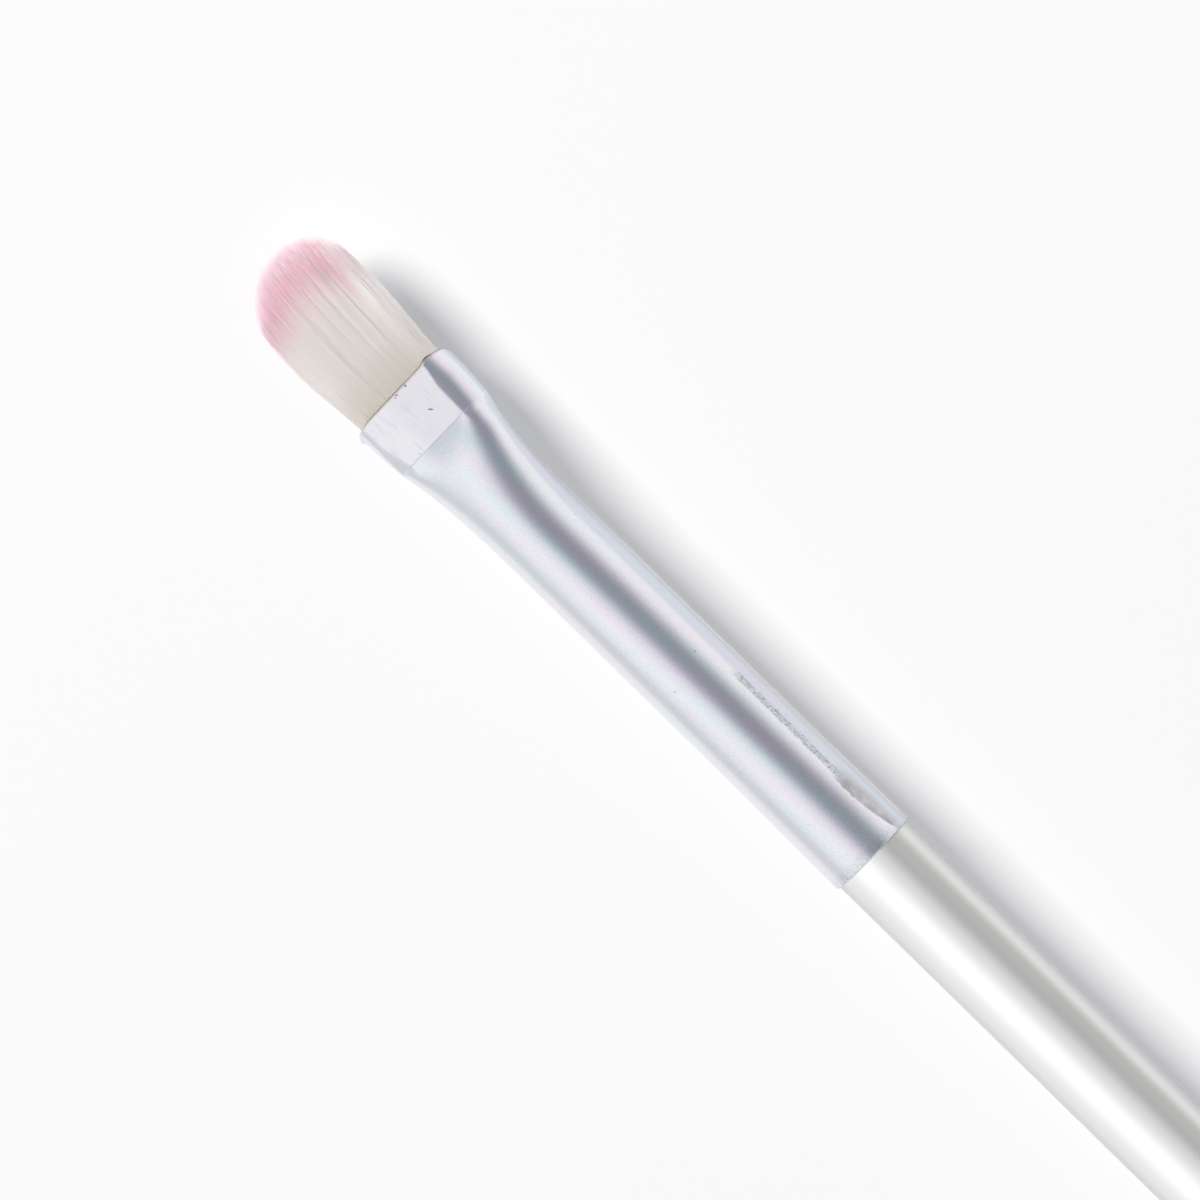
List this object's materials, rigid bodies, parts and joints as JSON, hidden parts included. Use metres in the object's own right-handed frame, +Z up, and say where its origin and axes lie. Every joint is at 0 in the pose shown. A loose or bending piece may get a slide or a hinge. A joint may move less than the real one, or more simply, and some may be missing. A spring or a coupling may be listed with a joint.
{
  "type": "concealer brush",
  "caption": "Slim make-up brush with a flat round-ended tuft, pink at the tip, in a flattened pearl metal ferrule on a round white handle.",
  "frame": {"origin": "on the surface that the brush lies on, under the middle of its box", "axes": "+X along the brush towards the tuft's tip, +Z up and square to the ferrule's flats, +Y across the flats"},
  "size_m": [0.16, 0.008, 0.0062],
  "materials": {
    "handle": "glossy moulded white",
    "adhesive": "cured clear adhesive",
    "ferrule": "satin with a thin pearl lacquer",
    "bristles": "fine satin filaments, dyed pink at the tips",
    "resin": "cured amber epoxy"
  },
  "bodies": {
    "root": {"handle": "handle", "glue_ring_1": "adhesive", "glue_ring_2": "adhesive", "glue_ring_3": "adhesive", "ferrule": "ferrule", "bristle_tuft": "bristles", "root_resin": "resin"}
  },
  "joints": []
}
